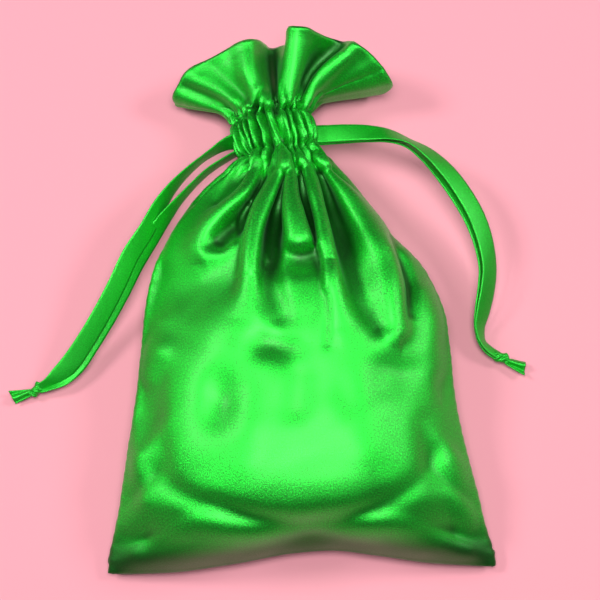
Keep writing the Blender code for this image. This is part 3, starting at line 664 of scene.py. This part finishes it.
# the drawn folds again, sharper now that the cloth has settled round them
EVEN = NORMAL.copy()
for _ in range(14):
    EVEN = (EVEN + np.roll(EVEN, 1, axis=1) + np.roll(EVEN, -1, axis=1)
            + np.concatenate([EVEN[1:], EVEN[-1:]]) + np.concatenate([EVEN[:1], EVEN[:-1]])) / 5
EVEN /= np.linalg.norm(EVEN, axis=-1, keepdims=True)
px_x, px_y = placed(CLOTH)
SHARP = 0.6 * hollows(px_x, px_y)
for power, line in FOLDS:
    SHARP += fold(px_x, px_y, line, power)
SHARP *= (S < 0.5) * (1 - np.exp(-(np.minimum(S, np.abs(0.5 - S))/0.012)**2))
SHARP *= np.where((H > H_LOW - 3) & (H < H_HIGH + 2), 0.25, 0.5)
CLOTH = CLOTH + EVEN * SHARP[..., None]
NECK = smooth(106, 115, H) * (1 - smooth(128, 137, H))
CLOTH = CLOTH + NORMAL * (crumple(4, (3.1, 3.7, 4.4, 5.3, 6.6), 0.09)*NECK
                          + crumple(8, (9, 12, 16, 21), 0.05)*(H < H_LOW))[..., None]
CLOTH[..., 2] = np.maximum(CLOTH[..., 2], 0.4)
NORMAL = normals(CLOTH)
if NORMAL[60*PER, NU // 4, 2] < 0:
    NORMAL = -NORMAL


def blurred(A, rounds):
    for _ in range(rounds):
        A = (np.roll(A, 1, axis=1) + np.roll(A, -1, axis=1) + 2*A) / 4
        A = np.concatenate([A[:1], (A[2:] + A[:-2] + 2*A[1:-1]) / 4, A[-1:]])
    return A


def painted_shade(X, N):
    """Painted shade for the cloth's colour: 0 on open cloth, 1 deep in a fold, where the light hardly gets."""
    fine = ((blurred(X, 6) - X) * N).sum(axis=-1)
    wide = ((blurred(X, 60) - X) * N).sum(axis=-1)
    return np.clip(1.2*fine.clip(0)/0.35 + 1.0*(wide - 0.2).clip(0)/1.4, 0, 1)


def sack_mesh():
    X, N = CLOTH.copy(), NORMAL
    # painted shade: how far each point's colour is darkened, most deep in folds
    shade = painted_shade(X, N)
    # painted shade: the colour darkens under the lowest edge, where less light gets
    shade = np.maximum(shade, 1 - smooth(4, 15, H))
    # side seams: a fine valley with small puckers either side
    for s0 in (0.0, 0.5):
        ds = ((S - s0 + 0.5) % 1 - 0.5) * 2 * FLAT_W
        wave = 0.05 * np.sin(2*np.pi*H/3.1 + 1.3*np.sin(H/5.0)) * np.exp(-(ds/2.6)**2)
        valley = -0.25 * np.exp(-(ds/0.9)**2)
        X += N * (wave + valley)[..., None]
    # the rim, where the hem is folded, stands up as a soft bead
    X += N * (0.12 * np.exp(-((FLAT_H - 0.6 - H)/0.7)**2) - 0.06*np.exp(-((FLAT_H - 3.2 - H)/0.9)**2))[..., None]
    # the hem turned in: rows back down inside, from the rim to the lower stitches
    lay = 0.55
    rows = [X]
    uv = [np.stack([S*2*FLAT_W, H], axis=-1)]
    low = int(H_LOW * PER)
    inner = X[low:NV][::-1] - N[low:NV][::-1] * lay
    hh = H[low:NV][::-1]
    ss = S[low:NV][::-1]
    th = np.pi * (1 - 2*ss)
    k = np.clip((hh - H_LOW) / (H_HIGH - H_LOW), 0, 1)
    ring = np.stack([
        -5.1 - 2.4*k + (5.0 + 1.0*np.cos(2*np.pi*PLEATS*ss))*np.cos(th),
        40.0 + 10.0*k + (hh - H_HIGH).clip(0),
        10.2 + (2.3 + 0.8*np.cos(2*np.pi*PLEATS*ss))*np.sin(th)], axis=-1)
    w = smooth(0.0, 5.0, H_HIGH + 4.5 - hh)[..., None]
    inner = inner*(1 - w) + ring*w
    rim = X[NV] - N[NV]*lay*0.5
    rim[:, 1] += 0.12
    X = X.copy()
    rows = [X, inner]
    P = np.concatenate(rows, axis=0)
    U = np.concatenate([uv[0], np.stack([ss*2*FLAT_W, 2*FLAT_H - hh], axis=-1)], axis=0)
    nr = P.shape[0]
    # the faces wrap round; the last column's UVs are shifted on so they don't jump, and the bottom row is welded after
    faces, verts, uvs = [], P.reshape(-1, 3), U.reshape(-1, 2)
    for j in range(nr - 1):
        for i in range(NU):
            k2 = (i + 1) % NU
            faces.append((j*NU + i, j*NU + k2, (j+1)*NU + k2, (j+1)*NU + i))
    mesh = bpy.data.meshes.new("sack_cloth")
    mesh.from_pydata([tuple(v) for v in verts * MM], [], faces)
    layer = mesh.uv_layers.new(name="UVMap")
    loops = np.empty(len(mesh.loops), dtype=np.int32)
    mesh.loops.foreach_get("vertex_index", loops)
    luv = uvs[loops].reshape(-1, 4, 2).copy()
    last = np.arange(len(faces)) % NU == NU - 1
    luv[last, 1, 0] += 2*FLAT_W
    luv[last, 2, 0] += 2*FLAT_W
    layer.data.foreach_set("uv", luv.ravel())
    # painted shade stored on each point for the material; the hem's inner rows inside get a fixed 0.4 of it
    depth = mesh.attributes.new("painted_shade", "FLOAT", "POINT")
    depth.data.foreach_set("value", np.concatenate([shade.ravel(), np.full(len(verts) - shade.size, 0.4)]))
    mesh.materials.append(SATIN)
    work = bmesh.new()
    work.from_mesh(mesh)
    work.verts.ensure_lookup_table()
    bottom = [work.verts[i] for i in range(NU)]
    bmesh.ops.remove_doubles(work, verts=bottom, dist=0.00002)
    bmesh.ops.recalc_face_normals(work, faces=work.faces)
    work.to_mesh(mesh)
    work.free()
    mesh.shade_smooth()
    obj = link(bpy.data.objects.new("sack_cloth", mesh))
    solid = obj.modifiers.new("thickness", "SOLIDIFY")
    solid.thickness = 0.0003
    solid.offset = -1
    solid.use_even_offset = False
    return obj


sack = sack_mesh()
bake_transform(sack)
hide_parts("front_panel", "back_panel", "front_casing", "back_casing",
            "front_facing", "back_facing", "front_frill", "back_frill",
            "left_side_seam", "right_side_seam")


# ---- stitches ---------------------------------------------------------------
def stitches(name, centres, ways, ups, length, radius, mat):
    """Short rounded thread stitches, each a six-sided capsule, in one mesh."""
    verts, faces, uvs = [], [], []
    for c, w, u in zip(centres, ways, ups):
        w = w / np.linalg.norm(w)
        side = np.cross(w, u)
        side /= np.linalg.norm(side)
        up = np.cross(side, w)
        base = len(verts)
        rings = ((-0.5, 0.25), (-0.42, 0.8), (-0.2, 1.0), (0.2, 1.0), (0.42, 0.8), (0.5, 0.25))
        for along, r in rings:
            sag = (0.25 - along*along) * 0.25 * length
            for k in range(6):
                a = k * math.pi / 3
                verts.append(c + w*along*length + up*(sag*0.5) + r*radius*(math.cos(a)*side + math.sin(a)*up))
                uvs.append((along*length, k * 0.3))
        for j in range(len(rings) - 1):
            for k in range(6):
                q = (k + 1) % 6
                faces.append((base+j*6+k, base+j*6+q, base+(j+1)*6+q, base+(j+1)*6+k))
        faces.append(tuple(base + k for k in range(5, -1, -1)))
        faces.append(tuple(base + (len(rings)-1)*6 + k for k in range(6)))
    return mesh_object(name, verts, faces, uvs, [mat])


def row_stitches(name, row, cols, node_name):
    c, w, u = [], [], []
    for i in cols:
        a, b = CLOTH[row, i % NU], CLOTH[row, (i + 4) % NU]
        n = NORMAL[row, (i + 2) % NU]
        c.append((a + b)/2 + n*0.14)
        w.append(b - a)
        u.append(n)
    obj = stitches(name, c, w, u, 1.5, 0.13, THREAD)
    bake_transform(obj)
    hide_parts(node_name)
    return obj


for half, first in (("front", 0), ("back", NU // 2)):
    for row, j in (("lower", int(H_LOW * PER)), ("upper", int(H_HIGH * PER))):
        row_stitches(f"{half}_{row}_stitches", j, range(first + 2, first + NU//2 - 2, 6),
                     f"{half}_casing_stitch_{row}")

for side, i0 in (("left", 2), ("right", NU // 2 - 2)):
    c, w, u = [], [], []
    for j in [*range(8, int(H_LOW*PER) - 4, 4), *range(int(H_HIGH*PER) + 6, NV - 2, 4)]:
        a, b = CLOTH[j, i0], CLOTH[j + 2, i0]
        n = NORMAL[j + 1, i0]
        c.append((a + b)/2 - n*0.02)
        w.append(b - a)
        u.append(n)
    obj = stitches(f"{side}_seam_stitches", c, w, u, 1.2, 0.10, THREAD)
    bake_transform(obj)
    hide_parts(f"{side}_seam_thread")


# ---- ribbons ----------------------------------------------------------------
def smooth_path(points, n):
    pts = np.asarray(points, float)
    t = np.linspace(0, 1, n)
    d = np.r_[0, np.cumsum(np.linalg.norm(np.diff(pts[:, :3], axis=0), axis=1))]
    d /= d[-1]
    m = np.gradient(pts, d, axis=0)
    i = np.clip(np.searchsorted(d, t, side="right") - 1, 0, len(pts) - 2)
    h = (d[i+1] - d[i])[:, None]
    u = (t - d[i])[:, None] / h
    return ((2*u**3-3*u**2+1)*pts[i] + (u**3-2*u**2+u)*h*m[i]
            + (3*u**2-2*u**3)*pts[i+1] + (u**3-u**2)*h*m[i+1])


def ribbon(name, rows, width, thickness, mat, n=440, cup=0.12, edge=True):
    """rows: x, y, z, roll in degrees, share of full width."""
    p = smooth_path(rows, n)
    centre, roll, share = p[:, :3], np.radians(p[:, 3]), p[:, 4]
    tangent = np.gradient(centre, axis=0)
    tangent /= np.linalg.norm(tangent, axis=1)[:, None]
    flat = np.cross(tangent, (0, 0, 1.0))
    flat /= np.linalg.norm(flat, axis=1)[:, None]
    up = np.cross(flat, tangent)
    across = flat*np.cos(roll)[:, None] + up*np.sin(roll)[:, None]
    face = np.cross(across, tangent)
    dist = np.r_[0, np.cumsum(np.linalg.norm(np.diff(centre, axis=0), axis=1))]
    m = 11
    verts, uvs = [], []
    for i in range(n):
        for k in range(m):
            v = -1 + 2*k/(m-1)
            half = width/2 * share[i]
            bead = 0.11 * math.sin(dist[i]*2*math.pi/0.80) if edge and abs(v) > 0.99 else 0.0
            verts.append(centre[i] + across[i]*(v*half + math.copysign(bead, v))
                         + face[i]*cup*(1 - v*v)*half*0.5)
            uvs.append((v*width/2, dist[i]))
    faces = [(i*m+k, i*m+k+1, (i+1)*m+k+1, (i+1)*m+k) for i in range(n-1) for k in range(m-1)]
    obj = mesh_object(name, verts, faces, uvs, [mat])
    solid = obj.modifiers.new("thickness", "SOLIDIFY")
    solid.thickness = thickness * MM
    solid.offset = 0
    return obj, centre * MM, float(dist[-1])


def px(rows):
    out = []
    for x, y, z, roll, share in rows:
        w = seen(x, y, z)
        out.append((w[0], w[1], w[2], roll, share))
    return out


STRANDS = {
    ("left", "front"): px([
        (247, 137.0, 11.5, 10, 0.8), (240, 139.5, 12.0, 34, 0.9), (226, 144, 12.4, 66, 0.95), (209.5, 154, 12.8, 86, 1.0),
        (190, 169.5, 13.2, 84, 1.0), (173, 187, 13.6, 72, 1.0), (159.5, 206, 13.6, 56, 1.0), (146.5, 230, 13.0, 44, 1.0),
        (130.5, 255, 12.0, 36, 1.0), (117.0, 284, 10.6, 32, 1.0), (102.5, 312, 8.8, 30, 1.0), (86, 340, 6.8, 28, 1.0),
        (69.5, 364, 4.8, 24, 1.0), (57, 377, 3.6, 30, 0.9), (47.0, 384, 3.0, 44, 0.62), (38, 388.5, 2.6, 30, 0.45)]),
    ("left", "back"): px([
        (252, 146.0, 9.6, 60, 0.7), (243, 150.0, 9.6, 84, 0.9), (227.5, 158.5, 9.8, 90, 1.0), (208.5, 171, 10.4, 88, 1.0),
        (192, 186.5, 11.4, 86, 1.0), (177, 203, 11.6, 78, 1.0), (163.5, 220, 11.2, 60, 1.0), (150.0, 240, 10.6, 44, 1.0),
        (135.0, 264, 10.0, 36, 1.0), (121.5, 290, 8.8, 26, 1.0), (106.5, 317, 7.0, 20, 1.0), (90, 344, 5.2, 14, 1.0),
        (74.0, 367, 3.6, 4, 1.0), (61, 379.5, 2.6, -14, 0.85), (50, 386, 2.2, -30, 0.6), (40, 389.5, 2.0, -20, 0.45)]),
    ("right", "front"): px([
        (306, 134.8, 11.2, 0, 1.0), (325, 134.0, 12.0, 4, 1.0), (345, 133.0, 13.0, 8, 1.0), (368, 132.8, 14.4, 20, 1.0),
        (389, 134.5, 15.4, 40, 1.0), (408, 140.5, 15.8, 58, 1.0), (428, 152.5, 15.2, 44, 1.0), (447, 170.5, 14.2, 30, 1.0),
        (464.5, 194, 12.8, 24, 1.0), (478, 219, 11.2, 24, 1.0), (486.5, 246, 9.6, 32, 1.0), (489.5, 268, 8.2, 40, 1.0),
        (487.5, 290, 6.8, 42, 1.0), (483.5, 310, 5.4, 44, 0.95), (480.0, 328, 4.0, 52, 0.85), (483, 342, 3.2, 56, 0.7), (491, 350.5, 2.8, 40, 0.55), (499, 355.5, 2.4, 30, 0.45)]),
    ("right", "back"): px([
        (306, 136.8, 9.6, 0, 1.0), (325, 136.2, 10.2, 2, 1.0), (345, 135.0, 11.2, 6, 1.0), (368, 134.6, 12.6, 16, 1.0),
        (389, 137.0, 13.6, 34, 1.0), (407, 144.0, 14.0, 50, 1.0), (425, 156.5, 13.4, 40, 1.0), (442.5, 174.5, 12.2, 26, 1.0),
        (459.5, 197.5, 10.8, 20, 1.0), (473.5, 222, 9.2, 22, 1.0), (482.5, 248, 7.6, 30, 1.0), (486, 269, 6.2, 36, 1.0),
        (484.5, 290, 5.0, 40, 1.0), (481.0, 310, 3.8, 46, 0.95), (478.5, 328, 2.8, 56, 0.85), (481.5, 343, 2.2, 56, 0.7), (490, 352.5, 2.0, 40, 0.55), (498, 357, 2.0, 30, 0.45)]),
}


def knot(name, centre, way, size, mat, twist):
    """An overhand knot of two flat strands pulled tight: a twisted, creased lump."""
    way = np.asarray(way, float); way /= np.linalg.norm(way)
    side = np.cross(way, (0, 0, 1.0)); side /= np.linalg.norm(side)
    up = np.cross(side, way)
    n, m = 44, 48
    verts, uvs = [], []
    for i in range(n):
        s = i/(n-1)
        along = (s - 0.5)*size*1.5
        fat = 0.16 + 0.84*math.sin(math.pi*s)**0.75 - 0.16*math.exp(-((s - 0.56)/0.07)**2)
        for k in range(m):
            a = 2*math.pi*k/m
            band = a + twist*(s - 0.5)*5.0
            crease = (0.13*math.cos(3*band) + 0.10*math.cos(2*a - 7*s*twist + 0.8)
                      + 0.05*math.cos(7*band + 4*s))
            edge = -0.14*math.exp(-((((band - 0.9) % math.pi) - 1.2)/0.22)**2)
            rad = size*0.43*fat*(1 + crease + edge)
            bend = 0.10*size*math.sin(math.pi*s*2)
            verts.append(np.asarray(centre) + way*along + side*(rad*math.cos(a) + bend) + up*(rad*0.78*math.sin(a)))
            uvs.append((a*size*0.4, s*size*1.5))
    faces = [(i*m+k, i*m+(k+1) % m, (i+1)*m+(k+1) % m, (i+1)*m+k) for i in range(n-1) for k in range(m)]
    faces.append(tuple(range(m-1, -1, -1)))
    faces.append(tuple((n-1)*m + k for k in range(m)))
    return mesh_object(name, verts, faces, uvs, [mat])


def tail(name, start, mid, end, width, mat, seed):
    """The cut ends past the knot: a crumpled, flaring pair."""
    p = smooth_path([(*start, 0, 0.45), (*mid, 25, 0.8), (*end, 10, 1.0)], 18)
    centre = p[:, :3]
    tangent = np.gradient(centre, axis=0); tangent /= np.linalg.norm(tangent, axis=1)[:, None]
    flat = np.cross(tangent, (0, 0, 1.0)); flat /= np.linalg.norm(flat, axis=1)[:, None]
    up = np.cross(flat, tangent)
    verts, uvs = [], []
    m = 13
    for i in range(18):
        s = i/17
        for k in range(m):
            v = -1 + 2*k/(m-1)
            ripple = 0.55*math.sin(v*4.4 + seed + s*1.5)*(0.8 + 0.2*s)
            slant = 0.5*v*(s**3)
            verts.append(centre[i] + flat[i]*v*width/2*(0.5 + 0.5*s) + up[i]*ripple + tangent[i]*slant)
            uvs.append((v*2.4, s*5))
    faces = [(i*m+k, i*m+k+1, (i+1)*m+k+1, (i+1)*m+k) for i in range(17) for k in range(m-1)]
    obj = mesh_object(name, verts, faces, uvs, [mat])
    solid = obj.modifiers.new("thickness", "SOLIDIFY")
    solid.thickness = 0.0003
    solid.offset = 0
    return obj


KNOTS = {
    "left": (seen(45, 385.5, 2.2), seen(29, 393, 2.0), seen(12, 397.5, 1.7)),
    "right": (seen(493, 353, 2.2), seen(508, 361.5, 2.0), seen(525, 369, 1.7)),
}
for side in ("left", "right"):
    body = side + "_drawstring"
    k0, k1, k2 = KNOTS[side]
    tied = knot(side + "_tied_knot", k0*0.5 + k1*0.5, k1 - k0, 3.5, RIBBON, 1.0 if side == "left" else -1.0)
    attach(tied, body)
    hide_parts(side + "_knot")
    ends = tail(side + "_cut_ends", k0*0.1 + k1*0.9, k1*0.5 + k2*0.5, k2, 3.6, RIBBON, 1.0 if side == "left" else 2.2)
    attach(ends, body)
    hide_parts(side + "_knot_ends")
    for layer in ("front", "back"):
        rows = STRANDS[(side, layer)]
        obj, path, length = ribbon(f"{side}_ribbon_{layer}", rows, 4.9, 0.28, RIBBON)
        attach(obj, body)
        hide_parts(f"{side}_ribbon_{layer}_strand")
        print(side, layer, "ribbon length mm", round(length, 1))

# the ribbons' runs inside the casing
for half, sign, body in (("front", 1, "sack_front"), ("back", -1, "sack_back")):
    for side, y in (("left", 42.6), ("right", 47.0)):
        rows = []
        for i in range(13):
            a = math.radians(12 + 156*i/12)
            rows.append((-6.4 + 6.7*math.cos(a), y, 10.2 + sign*3.7*math.sin(a), 0, 1.0))
        n, m = 40, 5
        p = smooth_path(rows, n)[:, :3]
        verts = [q + np.array((0, (-1 + 2*k/(m-1))*1.7, 0)) for q in p for k in range(m)]
        uvs = [((-1 + 2*k/(m-1))*1.7, i*0.5) for i in range(n) for k in range(m)]
        faces = [(i*m+k, i*m+k+1, (i+1)*m+k+1, (i+1)*m+k) for i in range(n-1) for k in range(m-1)]
        obj = mesh_object(f"{half}_{side}_ribbon_inside", verts, faces, uvs, [RIBBON])
        solid = obj.modifiers.new("thickness", "SOLIDIFY")
        solid.thickness = 0.00028
        solid.offset = 0
        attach(obj, body)
        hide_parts(f"{half}_{side}_ribbon_run")


# ---- table and light --------------------------------------------------------
def stage_material(name, colour):
    mat = bpy.data.materials.new(name)
    mat.use_nodes = True
    t = mat.node_tree
    b = t.nodes["Principled BSDF"]
    b.inputs["Roughness"].default_value = 0.85
    b.inputs["Specular IOR Level"].default_value = 0.15
    b.inputs["Base Color"].default_value = colour
    return mat


floor_mesh = bpy.data.meshes.new("floor")
g = bmesh.new()
bmesh.ops.create_grid(g, x_segments=4, y_segments=4, size=2.0)
g.to_mesh(floor_mesh)
g.free()
floor = link(bpy.data.objects.new("floor", floor_mesh))
floor_mesh.materials.append(stage_material("floor", (0.73, 0.305, 0.36, 1)))


def area(name, place, aim, size, power, colour=(1, 1, 1)):
    data = bpy.data.lights.new(name, "AREA")
    data.shape = "DISK"
    data.size = size
    data.energy = power
    data.color = colour
    obj = link(bpy.data.objects.new(name, data))
    obj.location = place
    obj.rotation_euler = (Vector(aim) - Vector(place)).to_track_quat("-Z", "Y").to_euler()
    return obj


area("overhead", (0.0, -0.08, 0.95), (0, 0, 0), 0.50, 8.4)
area("key_left", (-0.64, 0.22, 0.64), (0, 0, 0), 0.24, 3.9)
area("key_right", (0.68, 0.24, 0.60), (0, 0, 0), 0.24, 3.1)
world = bpy.data.worlds.new("world")
scene.world = world
world.use_nodes = True
world.node_tree.nodes["Background"].inputs["Color"].default_value = (1.0, 0.97, 0.97, 1)
world.node_tree.nodes["Background"].inputs["Strength"].default_value = 0.10
